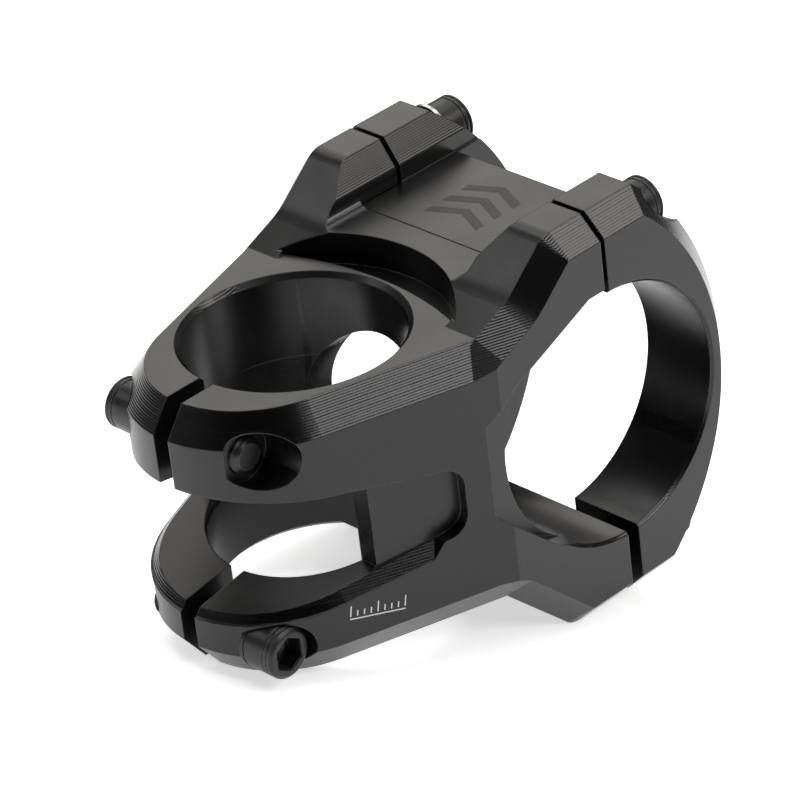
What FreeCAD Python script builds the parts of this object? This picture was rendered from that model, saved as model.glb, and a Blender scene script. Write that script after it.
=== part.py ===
"""Bicycle handlebar stem: steerer clamp, bar clamp, two-loop faceplate with a tongue in place of the top gap.

Frame: millimetres, +X forwards to the bar, +Y to the rider's left, +Z up along the steerer.
The origin is on the steerer axis, at the foot of the steerer clamp.
"""
import FreeCAD, Part
import math
import os
import Sketcher

os.makedirs("parts", exist_ok=True)
doc = FreeCAD.newDocument("handlebar_stem")
V = FreeCAD.Vector
BIG = 80.0            # longer than the part, for cuts that run right through

# ---------------------------------------------------------------- driving sizes
SIZES = {
    # steerer clamp
    "steerer_bore_radius": 14.3,      # 1-1/8 inch steerer, 28.6 mm
    "steerer_relief_radius": 14.5,    # the bore is eased between the two bands
    "steerer_relief_foot": 10.3,
    "steerer_relief_head_from_stack": -12.0,
    "bore_chamfer": 0.7,
    "stack_height": 38.0,
    "rear_arc_centre": 6.4,           # how far the rear outline's centre sits behind the steerer axis
    "rear_arc_radius": 17.0,
    "flare_angle": 17.5,              # degrees, how the flanks widen towards the bar
    "slot_width": 2.6,
    # window between the two steerer bands
    "web_rear_face": 5.4,             # the joining web starts this far behind the steerer axis
    "web_recess_depth": 1.9,
    "web_recess_front": 5.8,
    "web_recess_corner": 3.0,
    "web_recess_run_out": 1.0,        # each recess starts this far behind the web's rear face
    "window_foot": 12.8,              # the lower band's top, at the steerer axis
    "window_head_from_stack": -14.4,  # the upper band's underside, at the steerer axis
    "window_slope": 0.155,            # how both lean apart towards the rear
    "window_bevel_foot": 11.1,        # the lower band's bevel ends here, at the steerer axis
    "window_bevel_slope": 0.1196,     # it widens forwards, because it leans less than the window
    # bar clamp
    "reach": 32.0,
    "bar_bore_radius": 17.5,          # 35 mm bar
    "bar_chamfer": 0.4,
    "bar_centre_from_stack": -20.0,   # the bar sits lower than the steerer clamp's top
    "clamp_width": 47.0,
    "clamp_half_height": 28.4,
    "edge_bevel": 3.1,
    "ring_bevel_width": 3.0,
    "ring_bevel_drop": 4.0,
    "crest_from_bar": -7.4,  # the arms' tops start to fall here, towards the steerer clamp
    "slope_knee_from_bar": -14.4,
    "slope_knee_from_stack": 2.6,
    "slope_foot_x": 11.4,
    "shoulder_rear_x": 4.0,           # the arms' block runs back inside the steerer clamp to here
    "knee_blend": 9.0,
    "crest_blend": 3.5,
    "block_front_from_bar": 8.0,  # both clamp halves run past the gap before it is cut
    "arch_start_x": 11.9,             # the underside starts to fall here, to the clamp's foot
    "arch_end_from_bar": -9.1,
    "neck_hole_radius": 11.0,         # lightening hole between the two bores
    "neck_hole_from_bar": 1.5,
    # channel, tongue and crescent on top
    "channel_floor_from_bar": 22.5,
    "channel_half_width": 12.6,
    "channel_top_half_width": 15.1,
    "channel_wall_top_from_bar": 24.9,
    "channel_gutter": 1.8,
    "tongue_rear_from_bar": -7.6,
    "tongue_gap": 0.15,
    "spacer_recess_radius": 20.3,
    "spacer_recess_half": 15.2,
    "crescent_floor_from_stack": -2.0,
    "crescent_centre": 30.0,
    "crescent_inner_radius": 45.4,
    # gaps between body and faceplate
    "body_face_from_bar": -0.6,
    "upper_face_from_bar": 0.15,
    "lower_face_from_bar": 1.4,
    # faceplate
    "face_arc_from_bar": -14.0,  # centre of the front's arc, level with the bar
    "face_arc_radius": 36.3,
    "loop_inner_half": 12.2,
    "bridge_front_from_bar": 10.2,
    "bridge_relief_radius": 17.8,
    "bridge_lip_rise": 19.5,          # the bridge's front face turns under here, above the bar's centre
    "bridge_toe_rise": 11.0,
    "bridge_toe_setback": 1.6,
    "bridge_cut_rise": 6.0,
    "tongue_front_setback": 2.0,
    "tongue_side_gap": 0.05,
    # flank recess round the bar bore, on the body
    "flank_floor_half": 20.1,
    "flank_rear_from_bar": -22.6,
    "flank_knee_from_bar": -17.6,
    "flank_head": 18.4,               # heights and stations of its outline, from the bar's centre
    "flank_head_reach": 3.5,
    "flank_knee_rise": 12.6,
    "flank_rear_rise": 9.0,
    "flank_rear_fall": 4.0,
    "flank_corner_reach": 19.6,
    "flank_corner_fall": 6.9,
    "flank_foot_reach": 13.1,
    "flank_foot_fall": 12.9,
    "flank_toe_reach": 9.5,
    "flank_toe_fall": 14.7,
    # fasteners: M5, low heads with a hexagon socket
    "thread_radius": 2.5,
    "thread_clearance": 0.06,
    "shank_clearance": 0.3,
    "tip_chamfer": 0.4,
    "head_radius": 3.4,
    "head_length": 5.0,
    "head_bevel": 0.45,
    "socket_flats": 4.0,
    "socket_depth": 2.8,
    "washer_radius": 4.0,
    "washer_thickness": 0.5,
    "washer_hole_clearance": 0.15,
    "seat_clearance": 0.3,
    "pinch_washer_radius": 3.45,
    "pinch_seat_clearance": 0.15,
    "face_bolt_y": 18.0,
    "face_bolt_rise": 23.3,           # above and below the bar's centre
    "face_seat_from_bar": 8.1,
    "face_bolt_length": 16.0,
    "face_thread_end_from_bar": -8.0,
    "slack_of_upper_left": 2.5,       # this bolt stands out of its seat
    "pinch_bolt_x": 17.8,
    "pinch_bolt_lower_setback": 1.0,  # the lower one sits this much further back
    "pinch_bolt_drop": 6.0,           # the upper one, below the steerer clamp's top
    "pinch_bolt_rise": 5.1,           # the lower one, above its foot
    "pinch_seat_y": 7.8,
    "pinch_bolt_length": 18.0,
    "tip_seat_y": 8.6,
    "tip_seat_radius": 3.7,
}

sheet = doc.addObject("Spreadsheet::Sheet", "sizes")
for row, (alias, value) in enumerate(SIZES.items(), start=1):
    sheet.set("A%d" % row, alias)
    sheet.set("B%d" % row, str(value))
    sheet.setAlias("B%d" % row, alias)
doc.recompute()


class Rule:
    """A length as both a number and the sheet formula that gives it."""

    def __init__(self, text, value):
        self.text = text
        self.value = value

    def join(self, other, sign, value):
        other_text = other.text if isinstance(other, Rule) else repr(float(other))
        return Rule("(%s %s %s)" % (self.text, sign, other_text), value)

    def __add__(self, other):
        return self.join(other, "+", self.value + number(other))

    def __sub__(self, other):
        return self.join(other, "-", self.value - number(other))

    def __mul__(self, other):
        return self.join(other, "*", self.value * number(other))

    def __truediv__(self, other):
        return self.join(other, "/", self.value / number(other))

    def __neg__(self):
        return self * -1.0


def number(item):
    return item.value if isinstance(item, Rule) else float(item)


def rule(item):
    return item if isinstance(item, Rule) else Rule(repr(float(item)), float(item))


def size(alias):
    return Rule("sizes." + alias, float(sheet.get(alias)))


def sine(angle):
    return Rule("sin(%s)" % angle.text, math.sin(math.radians(angle.value)))


def cosine(angle):
    return Rule("cos(%s)" % angle.text, math.cos(math.radians(angle.value)))


# ---------------------------------------------------------------- sketch and feature helpers
def origin_plane(body, role):
    return next(item for item in body.Origin.OriginFeatures if item.Role == role)


def new_sketch(body, name, role, offset=0.0, turn=0.0):
    """A sketch on one of the body's own planes, moved along its normal and turned about its second axis."""
    sketch = body.newObject("Sketcher::SketchObject", name)
    sketch.AttachmentSupport = [(origin_plane(body, role), "")]
    sketch.MapMode = "FlatFace"
    offset = rule(offset)
    spin = FreeCAD.Rotation(V(0, 1, 0), turn)
    sketch.AttachmentOffset = FreeCAD.Placement(V(0, 0, offset.value), spin)
    sketch.setExpression("AttachmentOffset.Base.z", offset.text)
    return sketch


def pin(sketch, kind, first, first_point, second, second_point, length, tag):
    """A dimension from one point to another, bound to the sheet."""
    length = rule(length)
    sketch.addConstraint(Sketcher.Constraint(kind, first, first_point, second, second_point, length.value))
    bind(sketch, length, tag)


def bind(sketch, length, tag):
    index = sketch.ConstraintCount - 1
    sketch.renameConstraint(index, tag)
    sketch.setExpression("Constraints.%s" % tag, length.text)


def place(sketch, geometry, point, x, y, tag):
    """Fix a point by its two distances from the origin."""
    pin(sketch, "DistanceX", -1, 1, geometry, point, x, tag + "x")
    pin(sketch, "DistanceY", -1, 1, geometry, point, y, tag + "y")


def draw_circle(sketch, x, y, radius, tag="ring"):
    centre = V(number(x), number(y), 0)
    index = sketch.addGeometry(Part.Circle(centre, V(0, 0, 1), number(radius)), False)
    place(sketch, index, 3, x, y, tag)
    sketch.addConstraint(Sketcher.Constraint("Radius", index, number(radius)))
    bind(sketch, rule(radius), tag + "r")


def draw_polygon(sketch, corners, tag="corner"):
    """A closed outline of straight lines whose corners are pairs of rules."""
    spots = [V(number(x), number(y), 0) for x, y in corners]
    lines = []
    for start, end in zip(spots, spots[1:] + spots[:1]):
        lines.append(sketch.addGeometry(Part.LineSegment(start, end), False))
    for line, following in zip(lines, lines[1:] + lines[:1]):
        sketch.addConstraint(Sketcher.Constraint("Coincident", line, 2, following, 1))
    for count, (line, (x, y)) in enumerate(zip(lines, corners)):
        place(sketch, line, 1, x, y, "%s%d" % (tag, count))
    return lines


def draw_box(sketch, low_x, low_y, high_x, high_y):
    draw_polygon(sketch, [(low_x, low_y), (high_x, low_y), (high_x, high_y), (low_x, high_y)])


def pad(body, sketch, length, symmetric=False, flip=False, taper=None):
    """Add material; a taper is the pair (width, drop) by which the outline draws in."""
    feature = body.newObject("PartDesign::Pad", "pad_" + sketch.Name)
    feature.Profile = sketch
    length = rule(length)
    feature.Length = length.value
    feature.setExpression("Length", length.text)
    feature.Midplane = symmetric
    feature.Reversed = flip
    if taper:
        set_taper(feature, *taper)
    return finish(body, feature, 1)


def set_taper(feature, width, drop):
    feature.TaperAngle = -math.degrees(math.atan(width.value / drop.value))
    feature.setExpression("TaperAngle", "-atan(%s / %s)" % (width.text, drop.text))


def pocket(body, sketch, length, symmetric=False, flip=False, taper=None):
    """Remove material; a taper is the pair (width, drop) by which the cut draws in."""
    feature = body.newObject("PartDesign::Pocket", "cut_" + sketch.Name)
    feature.Profile = sketch
    length = rule(length)
    feature.Length = length.value
    feature.setExpression("Length", length.text)
    feature.Midplane = symmetric
    feature.Reversed = flip
    if taper:
        set_taper(feature, *taper)
    return finish(body, feature, -1)


def finish(body, feature, sign):
    """Recompute and make sure the feature added or removed material as meant."""
    base = feature.BaseFeature.Shape.Volume if feature.BaseFeature else 0.0
    body.Tip = feature
    doc.recompute()
    change = (feature.Shape.Volume - base) * sign
    if change <= 1e-3:
        raise RuntimeError("%s changed the volume by %.4f" % (feature.Name, change * sign))
    return feature


def edges_where(shape, test):
    """Names of the edges whose middle point and shape pass a test."""
    names = []
    for count, edge in enumerate(shape.Edges, start=1):
        middle = edge.valueAt((edge.FirstParameter + edge.LastParameter) / 2)
        if test(edge, middle):
            names.append("Edge%d" % count)
    return names


def dress(body, kind, amount, test):
    """A Fillet or Chamfer on every edge that passes the test."""
    base = body.Tip
    names = edges_where(base.Shape, test)
    if not names:
        raise RuntimeError("no edge to dress after " + base.Name)
    feature = body.newObject("PartDesign::" + kind, kind.lower() + "_after_" + base.Name)
    feature.Base = (base, names)
    field = "Radius" if kind == "Fillet" else "Size"
    setattr(feature, field, amount.value)
    feature.setExpression(field, amount.text)
    body.Tip = feature
    doc.recompute()
    return feature


def new_body(label):
    body = doc.addObject("PartDesign::Body", label)
    body.Label = label
    body.Placement = FreeCAD.Placement()
    return body


def along(edge, direction):
    """Whether a straight edge runs along a direction."""
    if edge.Curve.TypeId != "Part::GeomLine":
        return False
    run = edge.Vertexes[-1].Point - edge.Vertexes[0].Point
    return run.Length > 1e-6 and abs(run.normalize().dot(direction)) > 0.9999


def near(a, b, room=0.05):
    return abs(a - b) < room


# ---------------------------------------------------------------- sizes used by more than one piece
flare = size("flare_angle")
half_width = size("clamp_width") / 2
bar_x = size("reach")
stack = size("stack_height")
bar_z = stack + size("bar_centre_from_stack")
bar_r = size("bar_bore_radius")
top_z = bar_z + size("clamp_half_height")
foot_z = bar_z - size("clamp_half_height")
crest_x = bar_x + size("crest_from_bar")
slope_knee_x = bar_x + size("slope_knee_from_bar")
block_front_x = bar_x + size("block_front_from_bar")
arch_end_x = bar_x + size("arch_end_from_bar")
tongue_rear_x = bar_x + size("tongue_rear_from_bar")
body_face_x = bar_x + size("body_face_from_bar")
upper_face_x = bar_x + size("upper_face_from_bar")
lower_face_x = bar_x + size("lower_face_from_bar")
face_arc_x = bar_x + size("face_arc_from_bar")
bridge_front_x = bar_x + size("bridge_front_from_bar")
flank_rear_x = bar_x + size("flank_rear_from_bar")
flank_knee_x = bar_x + size("flank_knee_from_bar")
face_seat_x = bar_x + size("face_seat_from_bar")
face_thread_end_x = bar_x + size("face_thread_end_from_bar")
neck_hole_height = bar_z + size("neck_hole_from_bar")
channel_floor = bar_z + size("channel_floor_from_bar")
channel_wall_top = bar_z + size("channel_wall_top_from_bar")
slope_knee_height = stack + size("slope_knee_from_stack")
window_head = stack + size("window_head_from_stack")
steerer_relief_head = stack + size("steerer_relief_head_from_stack")
crescent_floor = stack + size("crescent_floor_from_stack")
shank_r = size("thread_radius") - size("thread_clearance")
seat_r = size("washer_radius") + size("seat_clearance")
pinch_seat_r = size("pinch_washer_radius") + size("pinch_seat_clearance")
bolt_heights = {"upper": bar_z + size("face_bolt_rise"), "lower": bar_z - size("face_bolt_rise")}
pinch_heights = {"upper": stack - size("pinch_bolt_drop"), "lower": size("pinch_bolt_rise")}


def cut_channel(body):
    """The channel along X between the two arms, with its sloping shoulders."""
    sketch = new_sketch(body, body.Name + "_channel", "YZ_Plane")
    low = size("channel_half_width")
    wide = size("channel_top_half_width") + (size("channel_top_half_width") - low)
    crown = top_z + (top_z - channel_wall_top)
    wall = channel_wall_top
    floor = channel_floor
    draw_polygon(sketch, [(-low, floor), (low, floor), (low, wall), (wide, crown), (-wide, crown), (-low, wall)])
    pocket(body, sketch, BIG * 2, symmetric=True)


def fillet_gutters(body):
    """Round the foot of the channel's two side walls."""
    half = size("channel_half_width").value
    floor = channel_floor.value

    def is_gutter(edge, middle):
        return along(edge, V(1, 0, 0)) and near(abs(middle.y), half) and near(middle.z, floor)

    dress(body, "Fillet", size("channel_gutter"), is_gutter)


def cut_bar_bore(body):
    sketch = new_sketch(body, body.Name + "_bar_bore", "XZ_Plane")
    draw_circle(sketch, bar_x, bar_z, bar_r)
    pocket(body, sketch, BIG, symmetric=True)


def chamfer_bar_bore(body, reach_of_rim):
    def is_rim(edge, middle):
        if edge.Curve.TypeId != "Part::GeomCircle" or not near(edge.Curve.Radius, bar_r.value):
            return False
        return near(abs(middle.y), reach_of_rim)

    dress(body, "Chamfer", size("bar_chamfer"), is_rim)


# ---------------------------------------------------------------- stem body
def flank_touch(radius):
    """Where a flank meets a rear arc of the given radius."""
    return -size("rear_arc_centre") - radius * sine(flare), radius * cosine(flare)


touch_x, touch_y = flank_touch(size("rear_arc_radius"))
wide_x = touch_x + (half_width - touch_y) * cosine(flare) / sine(flare)


def draw_open_chain(sketch, corners):
    """Straight lines through the corners; their two free ends are left for an arc."""
    spots = [V(x.value, y.value, 0) for x, y in corners]
    lines = [sketch.addGeometry(Part.LineSegment(a, b), False) for a, b in zip(spots, spots[1:])]
    for line, following in zip(lines, lines[1:]):
        sketch.addConstraint(Sketcher.Constraint("Coincident", line, 2, following, 1))
        place(sketch, following, 1, *corners[following], "corner%d" % following)
    return lines


def close_with_arc(sketch, lines, radius):
    """Close a chain of lines with a rear arc tangent to its first and last lines."""
    centre_x = -size("rear_arc_centre")
    circle = Part.Circle(V(centre_x.value, 0, 0), V(0, 0, 1), radius.value)
    start = math.pi / 2 + math.radians(flare.value)
    arc = sketch.addGeometry(Part.ArcOfCircle(circle, start, 2 * math.pi - start), False)
    place(sketch, arc, 3, centre_x, 0.0, "arc")
    sketch.addConstraint(Sketcher.Constraint("Radius", arc, radius.value))
    bind(sketch, radius, "arcr")
    sketch.addConstraint(Sketcher.Constraint("Tangent", arc, 1, lines[0], 1))
    sketch.addConstraint(Sketcher.Constraint("Tangent", arc, 2, lines[-1], 2))


def draw_plan(sketch):
    """Plan outline of the steerer clamp: a rear arc and two flanks tangent to it, flaring to the clamp's width."""
    front = crest_x
    corners = [(touch_x, touch_y), (wide_x, half_width), (front, half_width),
               (front, -half_width), (wide_x, -half_width), (touch_x, -touch_y)]
    close_with_arc(sketch, draw_open_chain(sketch, corners), size("rear_arc_radius"))


def draw_rounded(sketch, corners):
    """A closed outline whose corners are (x, y) or (x, y, rounding)."""
    lines = draw_polygon(sketch, [corner[:2] for corner in corners])
    for line, corner in zip(lines, corners):
        if len(corner) == 3:
            sketch.fillet(line, 1, corner[2].value, True, True)
            arc = sketch.GeometryCount - 1
            while sketch.Geometry[arc].TypeId != "Part::GeomArcOfCircle":
                arc -= 1
            sketch.addConstraint(Sketcher.Constraint("Radius", arc, corner[2].value))
            bind(sketch, corner[2], "rounding%d" % line)


def pad_bevelled(body, name, role, draw, low, high, width, drop):
    """A block between two levels along a plane's normal, its outline drawn in by the bevel's width at both ends."""
    ends = [("core", low + drop, high - low - drop * 2, False, None),
            ("upper", high - drop, drop, False, (width, drop)),
            ("lower", low + drop, drop, True, (width, drop))]
    for tag, start, length, flip, taper in ends:
        sketch = new_sketch(body, name + "_" + tag, role, start)
        draw(sketch)
        pad(body, sketch, length, flip=flip, taper=taper)


stem = new_body("stem_body")
bevel = size("edge_bevel")
pad_bevelled(stem, "ring", "XY_Plane", draw_plan, rule(0.0), stack, size("ring_bevel_width"),
             size("ring_bevel_drop"))


def draw_arms(sketch):
    """Side outline of the bar clamp's rear half, from inside the steerer clamp to past the gap."""
    blend = size("crest_blend")
    front = block_front_x
    back_x = size("shoulder_rear_x")
    drop = size("ring_bevel_drop")
    draw_rounded(sketch, [
        (back_x, drop), (back_x, stack - drop), (size("slope_foot_x"), stack),
        (slope_knee_x, slope_knee_height, size("knee_blend")),
        (crest_x, top_z, blend), (front, top_z), (front, foot_z), (arch_end_x, foot_z, blend),
        (size("arch_start_x"), 0.0),
    ])


pad_bevelled(stem, "arms", "XZ_Plane", draw_arms, -half_width, half_width, bevel, bevel)

# the arms' block keeps within the flared flanks
for side, name in ((1.0, "left"), (-1.0, "right")):
    trim = new_sketch(stem, "flare_trim_" + name, "XY_Plane")
    draw_polygon(trim, [
        (touch_x, touch_y * side), (wide_x, half_width * side), (wide_x, BIG * side), (touch_x, BIG * side),
    ])
    pocket(stem, trim, BIG * 2, symmetric=True)

split = new_sketch(stem, "split", "XZ_Plane")
draw_box(split, body_face_x, -BIG, BIG, BIG)
pocket(stem, split, BIG * 2, symmetric=True)

# steerer bore, slot and the window between the bands
bore = new_sketch(stem, "steerer_bore", "XY_Plane", -1.0)
draw_circle(bore, 0.0, 0.0, size("steerer_bore_radius"))
pocket(stem, bore, BIG, flip=True)

relief = new_sketch(stem, "steerer_relief", "XY_Plane", size("steerer_relief_foot"))
draw_circle(relief, 0.0, 0.0, size("steerer_relief_radius"))
pocket(stem, relief, steerer_relief_head - size("steerer_relief_foot"), flip=True)


def draw_arc_front(sketch, arc_x, arc_y, radius, rear_x, low, high):
    """A block outline with straight sides, a straight rear and an arc for its front."""
    reach = math.sqrt(radius.value ** 2 - (number(high) - number(arc_y)) ** 2)
    fall = math.sqrt(radius.value ** 2 - (number(low) - number(arc_y)) ** 2)
    tip_high = V(number(arc_x) + reach, number(high), 0)
    tip_low = V(number(arc_x) + fall, number(low), 0)
    rear_high = V(number(rear_x), number(high), 0)
    rear_low = V(number(rear_x), number(low), 0)
    for start, end in ((tip_high, rear_high), (rear_high, rear_low), (rear_low, tip_low)):
        sketch.addGeometry(Part.LineSegment(start, end), False)
    circle = Part.Circle(V(number(arc_x), number(arc_y), 0), V(0, 0, 1), radius.value)
    start_angle = math.atan2(number(low) - number(arc_y), fall)
    end_angle = math.atan2(number(high) - number(arc_y), reach)
    sketch.addGeometry(Part.ArcOfCircle(circle, start_angle, end_angle), False)
    for first, second in ((0, 1), (1, 2)):
        sketch.addConstraint(Sketcher.Constraint("Coincident", first, 2, second, 1))
    sketch.addConstraint(Sketcher.Constraint("Coincident", 2, 2, 3, 1))
    sketch.addConstraint(Sketcher.Constraint("Coincident", 0, 1, 3, 2))
    place(sketch, 1, 1, rear_x, high, "high")
    place(sketch, 1, 2, rear_x, low, "low")
    pin(sketch, "DistanceY", -1, 1, 0, 1, high, "tiphigh")
    pin(sketch, "DistanceY", -1, 1, 2, 2, low, "tiplow")
    place(sketch, 3, 3, arc_x, arc_y, "arc")
    sketch.addConstraint(Sketcher.Constraint("Radius", 3, radius.value))
    bind(sketch, radius, "arcr")


recess = new_sketch(stem, "spacer_recess", "XY_Plane", stack)
recess_half = size("spacer_recess_half")
draw_arc_front(recess, rule(0.0), rule(0.0), size("spacer_recess_radius"), rule(0.0), -recess_half, recess_half)
pocket(stem, recess, BIG, flip=True)

slot = new_sketch(stem, "rear_slot", "XY_Plane", -1.0)
draw_box(slot, -BIG, -size("slot_width") / 2, -10.0, size("slot_width") / 2)
pocket(stem, slot, BIG, flip=True)


def window_edges(x):
    """Heights of the window's foot and head at a place along X."""
    lean = size("window_slope") * x
    return size("window_foot") + lean, window_head - lean


rear = rule(-40.0)
web = -size("web_rear_face")
window = new_sketch(stem, "band_window", "XZ_Plane")
rear_foot, rear_head = window_edges(rear)
web_foot, web_head = window_edges(web)
draw_polygon(window, [(rear, rear_foot), (web, web_foot), (web, web_head), (rear, rear_head)])
pocket(stem, window, BIG * 2, symmetric=True)

# shallow recess on each flank, parallel to the flare, that carries the window on
front = size("web_recess_front")
recess_rear = web - size("web_recess_run_out")
corner = size("web_recess_corner")
rear_low, rear_high = window_edges(recess_rear)
front_low, front_high = window_edges(front)
rear_along = (recess_rear - touch_x) / cosine(flare)
front_along = (front - touch_x) / cosine(flare)
for side, name in ((1.0, "left"), (-1.0, "right")):
    flank = new_sketch(stem, "web_recess_" + name, "XZ_Plane", -touch_y * side, turn=flare.value * side)
    flank.setExpression("AttachmentOffset.Base.x", touch_x.text)
    flank.setExpression("AttachmentOffset.Rotation.Angle", (flare * side).text)
    draw_rounded(flank, [
        (rear_along, rear_high), (rear_along, rear_low),
        (front_along, front_low, corner), (front_along, front_high, corner),
    ])
    pocket(stem, flank, size("web_recess_depth"), flip=side > 0)


rim_width = size("web_recess_depth")


def draw_bevel_margin(sketch):
    """Everything outside the lower band's top once its rim is bevelled: a C open to the front."""
    radius = size("rear_arc_radius") - rim_width
    near_x, near_y = flank_touch(radius)
    end_x = front - corner * 1.1
    tip_y = near_y + (end_x - near_x) * sine(flare) / cosine(flare)
    corners = [(near_x, near_y), (end_x, tip_y), (end_x, BIG), (-BIG, BIG), (-BIG, -BIG), (end_x, -BIG),
               (end_x, -tip_y), (near_x, -near_y)]
    corners = [(rule(x), rule(y)) for x, y in corners]
    close_with_arc(sketch, draw_open_chain(sketch, corners), radius)


margin = new_sketch(stem, "window_rim", "XY_Plane", size("window_bevel_foot") + rim_width,
                    turn=-math.degrees(math.atan(size("window_bevel_slope").value)))
margin.setExpression("AttachmentOffset.Rotation.Angle", "-atan(%s)" % size("window_bevel_slope").text)
draw_bevel_margin(margin)
pocket(stem, margin, rim_width, taper=(rim_width, rim_width))

# hole through the wall between the two bores
neck = new_sketch(stem, "neck_hole", "YZ_Plane")
draw_circle(neck, 0.0, neck_hole_height, size("neck_hole_radius"))
pocket(stem, neck, bar_x, flip=True)

# crescent in front of the steerer bore
crescent = new_sketch(stem, "crescent", "XY_Plane", crescent_floor)
outer_r = size("spacer_recess_radius")
inner_r = size("crescent_inner_radius")
inner_x = size("crescent_centre")
tip_x = (outer_r.value ** 2 - inner_r.value ** 2 + inner_x.value ** 2) / (-2 * inner_x.value)
tip_y = math.sqrt(outer_r.value ** 2 - tip_x ** 2)
outer_turn = math.atan2(tip_y, tip_x)
inner_turn = math.atan2(tip_y, tip_x + inner_x.value)
arcs = [
    (Part.Circle(V(0, 0, 0), V(0, 0, 1), outer_r.value), outer_turn, outer_r, rule(0.0)),
    (Part.Circle(V(-inner_x.value, 0, 0), V(0, 0, 1), inner_r.value), inner_turn, inner_r, -inner_x),
]
for count, (circle, turn, radius, centre) in enumerate(arcs):
    arc = crescent.addGeometry(Part.ArcOfCircle(circle, -turn, turn), False)
    place(crescent, arc, 3, centre, 0.0, "arc%d" % count)
    crescent.addConstraint(Sketcher.Constraint("Radius", arc, radius.value))
    bind(crescent, radius, "arc%dr" % count)
for end in (1, 2):
    crescent.addConstraint(Sketcher.Constraint("Coincident", 0, end, 1, end))
pocket(stem, crescent, BIG, flip=True)

cut_channel(stem)
cut_bar_bore(stem)

# seat of the faceplate's tongue
seat = new_sketch(stem, "tongue_seat", "XY_Plane", bar_z)
seat_half = size("channel_half_width") - size("tongue_side_gap")
draw_box(seat, tongue_rear_x, -seat_half, body_face_x + 1.0, seat_half)
pocket(stem, seat, BIG, flip=True)

# recess on each flank round the bar bore
outline = [
    (bar_x, bar_z + size("flank_head")), (bar_x - size("flank_head_reach"), bar_z + size("flank_head")),
    (flank_knee_x, bar_z + size("flank_knee_rise")),
    (flank_rear_x, bar_z + size("flank_rear_rise")),
    (flank_rear_x, bar_z - size("flank_rear_fall")),
    (bar_x - size("flank_corner_reach"), bar_z - size("flank_corner_fall")),
    (bar_x - size("flank_foot_reach"), bar_z - size("flank_foot_fall")),
    (bar_x - size("flank_toe_reach"), bar_z - size("flank_toe_fall")), (bar_x, bar_z),
]
for side, name in ((1.0, "left"), (-1.0, "right")):
    flank = new_sketch(stem, "flank_recess_" + name, "XZ_Plane", -side * size("flank_floor_half").value)
    flank.setExpression("AttachmentOffset.Base.z", (size("flank_floor_half") * -side).text)
    draw_polygon(flank, outline)
    pocket(stem, flank, half_width, flip=side < 0)


def drill_x(body, name, y, z, radius, start, end):
    """A round hole along +X between two stations."""
    sketch = new_sketch(body, name, "YZ_Plane", start)
    draw_circle(sketch, y, z, radius)
    pocket(body, sketch, end - start, flip=True)


def drill_y(body, name, x, z, radius, start, length, side):
    """A round hole along Y that starts at a station and runs outwards on one side."""
    sketch = new_sketch(body, name, "XZ_Plane", -start)
    draw_circle(sketch, x, z, radius)
    pocket(body, sketch, length, flip=side < 0)


# threaded holes for the faceplate's bolts
bolt_y = size("face_bolt_y")
for level, height in bolt_heights.items():
    for side, name in ((1.0, "left"), (-1.0, "right")):
        drill_x(stem, "thread_%s_%s" % (level, name), bolt_y * side, height, size("thread_radius"),
                face_thread_end_x, body_face_x + 1.0)

# pinch bolts across the slot: clearance and seat on the head's side, thread on the other
pinch_xs = {"upper": -size("pinch_bolt_x"), "lower": -size("pinch_bolt_x") - size("pinch_bolt_lower_setback")}
shank_hole = size("thread_radius") + size("shank_clearance")
head_side = {"upper": 1.0, "lower": -1.0}
for level, height in pinch_heights.items():
    side = head_side[level]
    pinch_x = pinch_xs[level]
    drill_y(stem, "pinch_clearance_" + level, pinch_x, height, shank_hole, rule(0.0), half_width, side)
    drill_y(stem, "pinch_seat_" + level, pinch_x, height, pinch_seat_r, size("pinch_seat_y") * side, half_width,
            side)
    drill_y(stem, "pinch_thread_" + level, pinch_x, height, size("thread_radius"), rule(0.0), half_width, -side)
    drill_y(stem, "pinch_tip_" + level, pinch_x, height, size("tip_seat_radius"), size("tip_seat_y") * -side,
            half_width, -side)


def is_bore_rim(edge, middle):
    """The steerer bore's two rims, which the slot and the neck hole cut into arcs."""
    if edge.Curve.TypeId != "Part::GeomCircle" or not near(edge.Curve.Radius, size("steerer_bore_radius").value):
        return False
    return near(middle.z, 0.0) or near(middle.z, stack.value)


dress(stem, "Chamfer", size("bore_chamfer"), is_bore_rim)
fillet_gutters(stem)
chamfer_bar_bore(stem, half_width.value)

# ---------------------------------------------------------------- faceplate
face = new_body("faceplate")


def draw_face(sketch):
    """Side outline of the faceplate's loops, from behind the gap round the front."""
    draw_arc_front(sketch, face_arc_x, bar_z, size("face_arc_radius"), crest_x, foot_z, top_z)


pad_bevelled(face, "loops", "XZ_Plane", draw_face, -half_width, half_width, bevel, bevel)
back = new_sketch(face, "back", "XZ_Plane")
draw_polygon(back, [
    (-BIG, -BIG), (lower_face_x, -BIG), (lower_face_x, bar_z), (upper_face_x, bar_z),
    (upper_face_x, BIG), (-BIG, BIG),
])
pocket(face, back, BIG * 2, symmetric=True)

tongue = new_sketch(face, "tongue", "XY_Plane", bar_z)
tongue_half = seat_half - size("tongue_gap")
tongue_rear = tongue_rear_x + size("tongue_gap")
draw_box(tongue, tongue_rear, -tongue_half, bridge_front_x - size("tongue_front_setback"), tongue_half)
pad(face, tongue, channel_floor - bar_z)
cut_channel(face)
cut_bar_bore(face)

# the bridge is eased off the bar between the loops
relief = new_sketch(face, "bridge_relief", "XZ_Plane")
draw_circle(relief, bar_x, bar_z, size("bridge_relief_radius"))
pocket(face, relief, size("loop_inner_half") * 2, symmetric=True)

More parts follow.
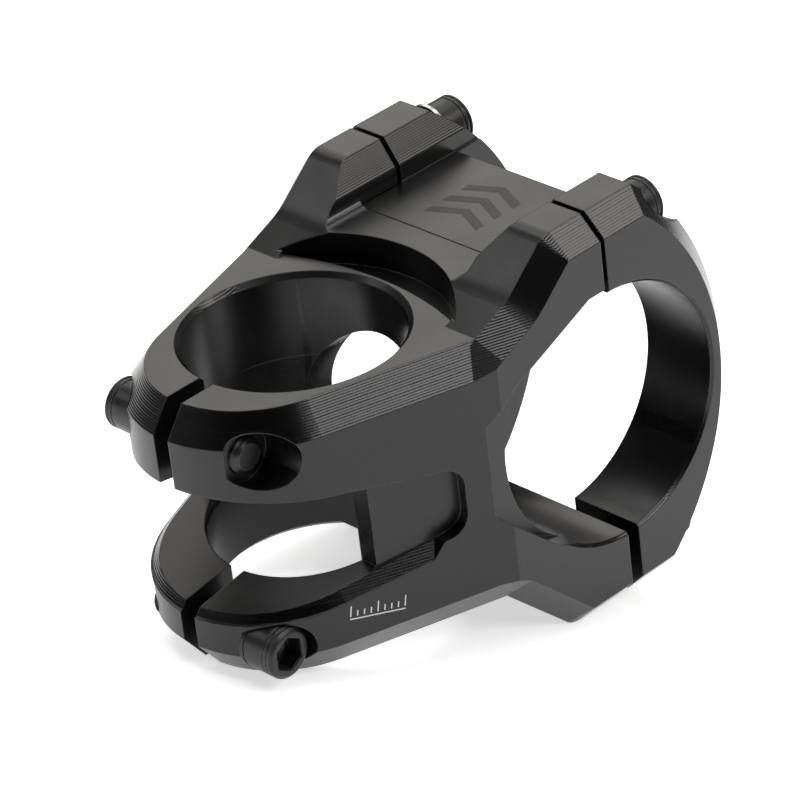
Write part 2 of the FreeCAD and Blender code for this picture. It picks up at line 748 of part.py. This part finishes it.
opening = new_sketch(face, "loop_opening", "XZ_Plane")
bridge_x = bridge_front_x
draw_polygon(opening, [
    (bridge_x, BIG), (bridge_x, bar_z + size("bridge_lip_rise")),
    (bridge_x - size("bridge_toe_setback"), bar_z + size("bridge_toe_rise")),
    (bar_x, bar_z + size("bridge_cut_rise")), (bar_x, -BIG), (BIG, -BIG), (BIG, BIG),
])
pocket(face, opening, size("loop_inner_half") * 2, symmetric=True)

for level, height in bolt_heights.items():
    for side, name in ((1.0, "left"), (-1.0, "right")):
        tag = "%s_%s" % (level, name)
        drill_x(face, "clearance_" + tag, bolt_y * side, height, shank_hole, bar_x, bar_x * 2)
        drill_x(face, "seat_" + tag, bolt_y * side, height, seat_r, face_seat_x, bar_x * 2)

chamfer_bar_bore(face, half_width.value)


# ---------------------------------------------------------------- fasteners
def revolve(body, sketch):
    feature = body.newObject("PartDesign::Revolution", "turn_" + sketch.Name)
    feature.Profile = sketch
    feature.ReferenceAxis = (sketch, ["V_Axis"])
    feature.Angle = 360.0
    return finish(body, feature, 1)


def make_bolt(label, length, spot, direction):
    """A socket-head bolt: its tip on the origin's far side, its head's underside on the origin."""
    body = new_body(label)
    head_r = size("head_radius")
    head = size("head_length")
    bevel_size = size("head_bevel")
    tip = size("tip_chamfer")
    half = new_sketch(body, label + "_half", "XZ_Plane")
    draw_polygon(half, [
        (0.0, -length), (shank_r - tip, -length), (shank_r, tip - length), (shank_r, 0.0), (head_r, 0.0),
        (head_r, head - bevel_size), (head_r - bevel_size, head), (0.0, head),
    ])
    revolve(body, half)
    socket = new_sketch(body, label + "_socket", "XY_Plane", head)
    corner = size("socket_flats") / math.sqrt(3)
    ring = [corner * math.cos(math.radians(60 * turn)) for turn in range(6)]
    rise = [corner * math.sin(math.radians(60 * turn)) for turn in range(6)]
    draw_polygon(socket, list(zip(ring, rise)))
    pocket(body, socket, size("socket_depth"))
    put(body, spot, direction)
    return body


def make_washer(label, radius, spot, direction):
    """A flat ring whose outer face lies on the origin."""
    body = new_body(label)
    sketch = new_sketch(body, label + "_ring", "XY_Plane")
    draw_circle(sketch, 0.0, 0.0, radius, "rim")
    draw_circle(sketch, 0.0, 0.0, size("thread_radius") + size("washer_hole_clearance"), "hole")
    pad(body, sketch, size("washer_thickness"), flip=True)
    put(body, spot, direction)
    return body


def put(body, spot, direction):
    """Stand a piece at a spot with its own Z along a direction."""
    x, y, z = (rule(item) for item in spot)
    body.Placement = FreeCAD.Placement(V(x.value, y.value, z.value), FreeCAD.Rotation(V(0, 0, 1), direction))
    for axis, item in zip("xyz", (x, y, z)):
        body.setExpression("Placement.Base.%s" % axis, item.text)


pieces = [stem, face]
washer = size("washer_thickness")
for level, height in bolt_heights.items():
    for side, name in ((1.0, "left"), (-1.0, "right")):
        under_head = face_seat_x + washer
        if (level, name) == ("upper", "left"):
            under_head = under_head + size("slack_of_upper_left")
        spot = (under_head, bolt_y * side, height)
        tag = "%s_%s" % (level, name)
        pieces.append(make_bolt("face_bolt_" + tag, size("face_bolt_length"), spot, V(1, 0, 0)))
        pieces.append(make_washer("face_washer_" + tag, size("washer_radius"), spot, V(1, 0, 0)))
for level, height in pinch_heights.items():
    side = head_side[level]
    spot = (pinch_xs[level], (size("pinch_seat_y") + washer) * side, height)
    pieces.append(make_bolt("pinch_bolt_" + level, size("pinch_bolt_length"), spot, V(0, side, 0)))
    pieces.append(make_washer("pinch_washer_" + level, size("pinch_washer_radius"), spot, V(0, side, 0)))

# ---------------------------------------------------------------- checks and files
doc.recompute()
for item in doc.Objects:
    if {"Invalid", "Error"} & set(item.State):
        raise RuntimeError("%s is %s" % (item.Label, item.State))
for piece in pieces:
    shape = piece.Shape
    if shape.isNull() or not shape.isValid() or len(shape.Solids) != 1:
        raise RuntimeError("%s has %d solids" % (piece.Label, len(shape.Solids)))
    shape.exportStep("parts/%s.step" % piece.Label)
    print("%-26s %9.1f mm3  %s" % (piece.Label, shape.Volume, shape.BoundBox))
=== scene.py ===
import math

import bmesh
import bpy
from mathutils import Matrix, Vector


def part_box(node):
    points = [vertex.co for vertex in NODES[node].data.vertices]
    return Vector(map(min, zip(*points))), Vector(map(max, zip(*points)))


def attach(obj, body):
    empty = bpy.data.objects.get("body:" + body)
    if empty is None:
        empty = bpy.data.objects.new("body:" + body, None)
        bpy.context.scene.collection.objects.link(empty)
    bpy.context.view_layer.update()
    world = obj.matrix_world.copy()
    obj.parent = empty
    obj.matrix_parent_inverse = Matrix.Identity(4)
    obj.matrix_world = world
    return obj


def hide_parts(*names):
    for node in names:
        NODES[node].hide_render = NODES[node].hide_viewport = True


MM = 0.001
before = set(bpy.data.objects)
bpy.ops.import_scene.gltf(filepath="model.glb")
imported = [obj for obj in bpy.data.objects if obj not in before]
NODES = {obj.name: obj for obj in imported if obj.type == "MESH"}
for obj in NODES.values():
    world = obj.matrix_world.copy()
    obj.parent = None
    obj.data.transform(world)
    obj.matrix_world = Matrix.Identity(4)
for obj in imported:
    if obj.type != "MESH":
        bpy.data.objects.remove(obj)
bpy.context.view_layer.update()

FLOOR_TILT = math.atan2(10.4, 24.5 + 20.4)     # the stem lies on its rear foot and on the bar clamp's foot
FLOOR_POINT = Vector((-20.4, 0.0, 0.0)) * MM
FLARE = math.radians(17.5)                     # how the steerer clamp's flanks widen forwards

# screws, in millimetres
THREAD_PITCH = 0.8
THREAD_CREST = 2.44
THREAD_ROOT = 2.02
HEAD_RADIUS = 3.4
HEAD_LENGTH = 5.0
SOCKET_FLATS = 4.0
SOCKET_DEPTH = 2.6
FACE_SCREW = 16.0
PINCH_SCREW = 18.0
SIDES = 72                                     # facets round a screw


# ---------------------------------------------------------------- camera, floor and lights
def add_camera():
    data = bpy.data.cameras.new("camera")
    data.sensor_width = 36.0
    data.lens = 213.9
    data.clip_start = 0.05
    data.clip_end = 20.0
    camera = bpy.data.objects.new("camera", data)
    right = Vector((0.70138, -0.70500, -0.10507)).normalized()
    ahead = Vector((0.57152, 0.64432, -0.50814)).normalized()
    up = right.cross(ahead).normalized()
    right = ahead.cross(up).normalized()
    turn = Matrix((right, up, -ahead)).transposed().to_4x4()
    camera.matrix_world = Matrix.Translation(Vector((-331.27, -391.61, 328.68)) * MM) @ turn
    bpy.context.scene.collection.objects.link(camera)
    bpy.context.scene.camera = camera


def add_floor():
    ahead = Vector((math.cos(FLOOR_TILT), 0.0, -math.sin(FLOOR_TILT)))
    left = Vector((0.0, 1.0, 0.0))
    half = 3.0
    bm = bmesh.new()
    signs = ((-1, -1), (1, -1), (1, 1), (-1, 1))
    corners = [FLOOR_POINT + ahead * x * half + left * y * half for x, y in signs]
    bm.faces.new([bm.verts.new(corner) for corner in corners])
    floor = mesh_object("floor", bm)
    net = Net("floor")
    net.set("Base Color", (0.90, 0.90, 0.90, 1))
    net.set("Roughness", 0.85)
    net.set("Specular IOR Level", 0.1)
    net.set("Emission Color", (1, 1, 1, 1))
    net.set("Emission Strength", 0.62)
    floor.data.materials.append(net.material)


def add_area(name, spot, aim, width, height, power, colour=(1.0, 1.0, 1.0)):
    data = bpy.data.lights.new(name, "AREA")
    data.shape = "RECTANGLE"
    data.size = width
    data.size_y = height
    data.energy = power
    data.color = colour
    lamp = bpy.data.objects.new(name, data)
    spot = Vector(spot)
    lamp.location = spot
    lamp.rotation_euler = (Vector(aim) - spot).to_track_quat("-Z", "Y").to_euler()
    bpy.context.scene.collection.objects.link(lamp)


def add_lights():
    """A dim dome that is darker on one side, and five soft boxes."""
    world = bpy.data.worlds.new("studio")
    bpy.context.scene.world = world
    world.use_nodes = True
    nodes = world.node_tree.nodes
    links = world.node_tree.links
    where = nodes.new("ShaderNodeTexCoord")
    dark_side = nodes.new("ShaderNodeVectorMath")
    dark_side.operation = "DOT_PRODUCT"
    dark_side.inputs[1].default_value = Vector((-0.55, -0.50, 0.62)).normalized()
    fade = nodes.new("ShaderNodeMapRange")
    fade.interpolation_type = "SMOOTHSTEP"
    for socket, value in (("From Min", 0.62), ("From Max", 0.92), ("To Min", 0.16), ("To Max", 0.004)):
        fade.inputs[socket].default_value = value
    background = nodes["Background"]
    background.inputs["Color"].default_value = (1, 1, 1, 1)
    links.new(where.outputs["Generated"], dark_side.inputs[0])
    links.new(dark_side.outputs["Value"], fade.inputs["Value"])
    links.new(fade.outputs["Result"], background.inputs["Strength"])
    centre = (0.015, 0.0, 0.018)
    add_area("overhead", (0.20, 0.15, 1.0), centre, 0.9, 0.9, 8.5)
    add_area("right_box", (0.25, -0.75, 0.62), centre, 0.50, 0.30, 3.0)
    add_area("far_box", (0.62, 0.72, 0.55), centre, 1.00, 0.50, 3.2, (1.0, 0.965, 0.91))
    add_area("front_box", (0.62, -0.50, 0.66), centre, 0.30, 0.30, 1.7, (1.0, 0.965, 0.91))
    add_area("left_box", (-0.40, 0.66, 0.72), centre, 0.40, 0.30, 0.9)


# ---------------------------------------------------------------- materials
class Net:
    """A small builder for one material's node tree."""

    def __init__(self, name):
        self.material = bpy.data.materials.new(name)
        self.material.use_nodes = True
        self.nodes = self.material.node_tree.nodes
        self.links = self.material.node_tree.links
        self.shader = self.nodes["Principled BSDF"]

    def set(self, socket, value):
        self.shader.inputs[socket].default_value = value

    def feed(self, socket, source):
        self.links.new(source, self.shader.inputs[socket])

    def put(self, socket, item):
        if isinstance(item, (int, float, tuple)):
            socket.default_value = item
        else:
            self.links.new(item, socket)

    def math(self, operation, *items):
        node = self.nodes.new("ShaderNodeMath")
        node.operation = operation
        for socket, item in zip(node.inputs, items):
            self.put(socket, item)
        return node.outputs[0]

    def split(self, vector):
        node = self.nodes.new("ShaderNodeSeparateXYZ")
        self.links.new(vector, node.inputs[0])
        return node.outputs

    def noise(self, place, scale, detail=2.0):
        node = self.nodes.new("ShaderNodeTexNoise")
        node.inputs["Scale"].default_value = scale
        node.inputs["Detail"].default_value = detail
        self.links.new(place, node.inputs["Vector"])
        return node.outputs["Fac"]

    def ramp(self, value, low, high, out_low, out_high):
        node = self.nodes.new("ShaderNodeMapRange")
        for socket, item in (("Value", value), ("From Min", low), ("From Max", high),
                             ("To Min", out_low), ("To Max", out_high)):
            self.put(node.inputs[socket], item)
        return node.outputs["Result"]

    def mix_colour(self, factor, low, high):
        node = self.nodes.new("ShaderNodeMix")
        node.data_type = "RGBA"
        self.put(node.inputs["Factor"], factor)
        self.put(node.inputs["A"], low)
        self.put(node.inputs["B"], high)
        return node.outputs["Result"]

    def bump(self, height, strength, distance, normal=None):
        node = self.nodes.new("ShaderNodeBump")
        node.inputs["Strength"].default_value = strength
        node.inputs["Distance"].default_value = distance
        self.put(node.inputs["Height"], height)
        if normal is not None:
            self.links.new(normal, node.inputs["Normal"])
        return node.outputs["Normal"]

    def is_near(self, value, aim, room):
        return self.math("COMPARE", value, aim, room)

    def pick(self, mask, low, high):
        """low where the mask is 0, high where it is 1."""
        return self.math("ADD", self.math("MULTIPLY", self.math("SUBTRACT", 1.0, mask), low),
                         self.math("MULTIPLY", mask, high))


def anodised(name):
    """Black anodised, machined aluminium: tool lines on the bevels, a fine satin grain everywhere."""
    net = Net(name)
    place = net.nodes.new("ShaderNodeTexCoord").outputs["Object"]
    geometry = net.nodes.new("ShaderNodeNewGeometry")
    x, y, z = net.split(place)
    nx, ny, nz = (net.math("ABSOLUTE", part) for part in net.split(geometry.outputs["True Normal"]))

    on_ring = net.is_near(nz, 0.60, 0.055)
    on_arm = net.math("MULTIPLY", net.is_near(ny, 0.707, 0.02), net.math("SUBTRACT", 1.0, on_ring))
    low_rear = net.math("MULTIPLY", net.math("LESS_THAN", x, 6.5 * MM), net.math("LESS_THAN", z, 15.0 * MM))
    on_rim = net.math("MULTIPLY", net.is_near(nz, 0.70, 0.045), low_rear)
    bevels = net.math("MINIMUM", net.math("ADD", net.math("ADD", on_ring, on_arm), on_rim), 1.0)
    across = net.pick(net.math("MAXIMUM", on_ring, on_rim), y, z)

    pitch = 0.27 * MM
    count = net.math("DIVIDE", across, pitch)
    groove = net.math("ABSOLUTE", net.math("SINE", net.math("MULTIPLY", count, math.pi)))
    index = net.nodes.new("ShaderNodeTexWhiteNoise")
    index.noise_dimensions = "1D"
    net.links.new(net.math("FLOOR", count), index.inputs["W"])
    uneven = net.math("MULTIPLY", net.math("FRACT", count), net.math("SUBTRACT", index.outputs["Value"], 0.5))
    chatter = net.noise(place, 900.0, 1.0)
    tool = net.math("ADD", net.math("ADD", groove, net.math("MULTIPLY", uneven, 0.9)),
                    net.math("MULTIPLY", chatter, 0.35))

    grain = net.noise(place, 9000.0, 2.0)
    cloud = net.noise(place, 130.0, 3.0)
    bevel = net.nodes.new("ShaderNodeBevel")
    bevel.samples = 6
    bevel.inputs["Radius"].default_value = 0.22 * MM
    rounded = bevel.outputs["Normal"]
    with_tool = net.bump(net.math("MULTIPLY", tool, bevels), 0.40, 0.030 * MM, rounded)
    with_grain = net.bump(grain, 0.10, 0.012 * MM, with_tool)
    net.feed("Normal", with_grain)

    # Lighter base colour along the rounded edges, in patches: partly real wear, partly a painted edge
    # highlight.
    facing = net.nodes.new("ShaderNodeVectorMath")
    facing.operation = "DOT_PRODUCT"
    net.links.new(rounded, facing.inputs[0])
    net.links.new(geometry.outputs["True Normal"], facing.inputs[1])
    wear_and_highlight = net.ramp(facing.outputs["Value"], 0.995, 0.90, 0.0, 1.0)
    wear_and_highlight = net.math("MULTIPLY", wear_and_highlight, net.ramp(net.noise(place, 600.0), 0.35, 0.75, 0.0, 1.0))
    shade = net.mix_colour(cloud, (0.0016, 0.0015, 0.0014, 1), (0.0034, 0.0032, 0.0030, 1))
    net.feed("Base Color", net.mix_colour(wear_and_highlight, shade, (0.050, 0.048, 0.046, 1)))
    satin = net.ramp(cloud, 0.3, 0.7, 0.26, 0.33)
    net.feed("Roughness", net.pick(bevels, satin, 0.20))
    net.set("IOR", 1.44)
    return net.material


def dark_steel():
    """Black-oxide screws: turned rings, a little oil, edges lightened partly by wear and partly by a painted
    highlight.
    """
    net = Net("black_oxide_steel")
    place = net.nodes.new("ShaderNodeTexCoord").outputs["Object"]
    geometry = net.nodes.new("ShaderNodeNewGeometry")
    bevel = net.nodes.new("ShaderNodeBevel")
    bevel.samples = 4
    bevel.inputs["Radius"].default_value = 0.12 * MM
    rounded = bevel.outputs["Normal"]
    # Lighter base colour along the rounded edges: partly real wear, partly a painted edge highlight.
    facing = net.nodes.new("ShaderNodeVectorMath")
    facing.operation = "DOT_PRODUCT"
    net.links.new(rounded, facing.inputs[0])
    net.links.new(geometry.outputs["True Normal"], facing.inputs[1])
    wear_and_highlight = net.ramp(facing.outputs["Value"], 0.99, 0.88, 0.0, 1.0)
    patch = net.noise(place, 450.0, 3.0)
    shade = net.mix_colour(patch, (0.004, 0.004, 0.004, 1), (0.012, 0.0116, 0.0112, 1))
    net.feed("Base Color", net.mix_colour(wear_and_highlight, shade, (0.10, 0.098, 0.095, 1)))
    net.feed("Roughness", net.ramp(patch, 0.3, 0.7, 0.30, 0.46))
    net.feed("Normal", net.bump(net.noise(place, 5000.0), 0.15, 0.02 * MM, rounded))
    net.set("Metallic", 0.25)
    return net.material


def pale_steel():
    net = Net("zinc_steel")
    place = net.nodes.new("ShaderNodeTexCoord").outputs["Object"]
    patch = net.noise(place, 700.0, 3.0)
    net.feed("Base Color", net.mix_colour(patch, (0.45, 0.45, 0.46, 1), (0.62, 0.62, 0.62, 1)))
    net.feed("Roughness", net.ramp(patch, 0.3, 0.7, 0.22, 0.36))
    net.feed("Normal", net.bump(net.noise(place, 4000.0), 0.1, 0.02 * MM))
    net.set("Metallic", 1.0)
    return net.material


def marking(name, dark, light, roughness, shine):
    net = Net(name)
    place = net.nodes.new("ShaderNodeTexCoord").outputs["Object"]
    speck = net.noise(place, 5000.0, 2.0)
    net.feed("Base Color", net.mix_colour(speck, dark, light))
    net.feed("Roughness", net.ramp(speck, 0.3, 0.7, roughness, roughness + 0.12))
    net.feed("Normal", net.bump(speck, 0.2, 0.01 * MM))
    net.set("Specular IOR Level", shine)
    return net.material


# ---------------------------------------------------------------- meshes
def mesh_object(name, bm, smooth=False):
    mesh = bpy.data.meshes.new(name)
    bm.normal_update()
    bm.to_mesh(mesh)
    bm.free()
    if smooth:
        mesh.shade_smooth()
    piece = bpy.data.objects.new(name, mesh)
    bpy.context.scene.collection.objects.link(piece)
    return piece


def thread_radius(height, angle):
    """A vee thread with flattened crests, cut as a helix."""
    turn = (height / THREAD_PITCH - angle / (2 * math.pi)) % 1.0
    wave = abs(2.0 * turn - 1.0)
    return THREAD_ROOT + (THREAD_CREST - THREAD_ROOT) * min(max(wave * 1.35 - 0.15, 0.0), 1.0)


def hexagon_radius(flats, angle):
    return flats / 2 / math.cos((angle + math.pi / 6) % (math.pi / 3) - math.pi / 6)


def screw_rows(length):
    """Rows of a socket screw from the tip to the socket's floor: (height, radius of an angle)."""
    head = HEAD_LENGTH
    head_radius = HEAD_RADIUS
    rows = [(-length, lambda a: 0.0), (-length, lambda a: 1.75)]
    steps = int(length / 0.1)
    for step in range(steps + 1):
        height = -length + 0.3 + step * (length - 0.3) / steps
        limit = 2.1 + (height + length - 0.3) * 1.6
        runout = THREAD_CREST if height > -1.2 else 0.0
        rows.append((height, lambda a, h=height, top=limit, bare=runout:
                     max(min(thread_radius(h, a), top), bare)))
    profile = [(0.0, THREAD_CREST), (0.0, head_radius - 0.15), (0.15, head_radius), (head - 1.75, head_radius),
               (head - 1.65, head_radius - 0.16), (head - 1.45, head_radius - 0.16), (head - 1.35, head_radius),
               (head - 1.05, head_radius), (head - 0.95, head_radius - 0.16), (head - 0.75, head_radius - 0.16),
               (head - 0.65, head_radius), (head - 0.40, head_radius), (head - 0.08, head_radius - 0.38),
               (head, head_radius - 0.55)]
    rows += [(height, lambda a, r=radius: r) for height, radius in profile]
    rows.append((head, lambda a: hexagon_radius(SOCKET_FLATS, a) + 0.22))
    rows.append((head - 0.22, lambda a: hexagon_radius(SOCKET_FLATS, a)))
    rows.append((head - SOCKET_DEPTH, lambda a: hexagon_radius(SOCKET_FLATS, a)))
    rows.append((head - SOCKET_DEPTH, lambda a: 1.6))
    rows.append((head - 3.1, lambda a: 0.0))
    return rows


def make_screw(node, spot, axis, length, steel):
    """A threaded socket screw in place of a plain CAD one; its head's underside is at the spot."""
    bm = bmesh.new()
    previous = None
    for height, radius in screw_rows(length):
        ring = []
        single = radius(0.0) == 0.0
        for side in range(1 if single else SIDES):
            angle = 2 * math.pi * side / SIDES
            r = radius(angle)
            ring.append(bm.verts.new(Vector((r * math.cos(angle), r * math.sin(angle), height)) * MM))
        if previous:
            for side in range(SIDES):
                following = (side + 1) % SIDES
                quad = [previous[side % len(previous)], previous[following % len(previous)],
                        ring[following % len(ring)], ring[side % len(ring)]]
                corners = list(dict.fromkeys(quad))
                if len(corners) > 2:
                    bm.faces.new(corners)
        previous = ring
    bmesh.ops.recalc_face_normals(bm, faces=bm.faces)
    turn = Vector((0, 0, 1)).rotation_difference(Vector(axis)).to_matrix().to_4x4()
    bm.transform(Matrix.Translation(Vector(spot) * MM) @ turn)
    screw = mesh_object("screw_" + node, bm)
    screw.data.materials.append(steel)
    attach(screw, node)
    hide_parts(node)


def add_screws(steel):
    for node in sorted(NODES):
        if "bolt" not in node:
            continue
        low, high = (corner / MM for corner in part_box(node))
        middle = (low + high) / 2
        if node.startswith("face"):
            spot, axis, length = (high.x - HEAD_LENGTH, middle.y, middle.z), (1, 0, 0), FACE_SCREW
        elif node.endswith("upper"):
            spot, axis, length = (middle.x, high.y - HEAD_LENGTH, middle.z), (0, 1, 0), PINCH_SCREW
        else:
            spot, axis, length = (middle.x, low.y + HEAD_LENGTH, middle.z), (0, -1, 0), PINCH_SCREW
        make_screw(node, spot, axis, length, steel)


def add_flat_mark(name, shapes, frame_matrix, material, body):
    """Thin marks laid on a face: each shape is a closed outline in millimetres on that face."""
    bm = bmesh.new()
    for shape in shapes:
        bm.faces.new([bm.verts.new(frame_matrix @ (Vector((u, v, 0.0)) * MM)) for u, v in shape])
    mark = mesh_object(name, bm)
    mark.data.materials.append(material)
    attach(mark, body)


def add_marks():
    """Plain scale ticks on the lower band, plain chevrons on the bridge."""
    ticks = []
    for count in range(9):
        height = 1.5 if count % 4 == 0 else 0.8
        start = count * 0.95
        ticks.append([(start, 0.0), (start + 0.17, 0.0), (start + 0.17, height), (start, height)])
    ticks.append([(0.0, -0.45), (7.77, -0.45), (7.77, -0.28), (0.0, -0.28)])
    along = Vector((math.cos(FLARE), -math.sin(FLARE), 0.0))
    up = Vector((0.0, 0.0, 1.0))
    out = Vector((-math.sin(FLARE), -math.cos(FLARE), 0.0))
    slant = (along * 0.985 - up * 0.17).normalized()
    rise = out.cross(slant)
    spot = Vector((-11.0, -16.37, 7.6)) * MM + out * 0.02 * MM
    lay = Matrix((slant, rise, out)).transposed().to_4x4()
    lay.translation = spot
    pale = marking("laser_grey", (0.45, 0.45, 0.44, 1), (0.62, 0.62, 0.60, 1), 0.5, 0.3)
    add_flat_mark("scale_ticks", ticks, lay, pale, "stem_body")

    chevrons = []
    for count in range(3):
        start = 28.2 + count * 3.4
        chevrons.append([(start, -4.6), (start + 1.5, -4.6), (start + 3.6, 0.0), (start + 1.5, 4.6),
                         (start, 4.6), (start + 2.1, 0.0)])
    lay = Matrix.Translation(Vector((0.0, 0.0, 40.52)) * MM)
    gloss = marking("etched_black", (0.004, 0.004, 0.004, 1), (0.007, 0.007, 0.007, 1), 0.30, 0.22)
    add_flat_mark("bridge_chevrons", chevrons, lay, gloss, "faceplate")


def dress_nodes(black, steel, pale):
    for name, node in NODES.items():
        if name in ("stem_body", "faceplate"):
            material = black
        elif name.startswith("face_washer"):
            material = pale
        else:
            material = steel
        node.data.materials.clear()
        node.data.materials.append(material)


bpy.context.scene.view_settings.view_transform = "Standard"
add_camera()
add_floor()
add_lights()
steel = dark_steel()
dress_nodes(anodised("black_anodised"), steel, pale_steel())
add_screws(steel)
add_marks()
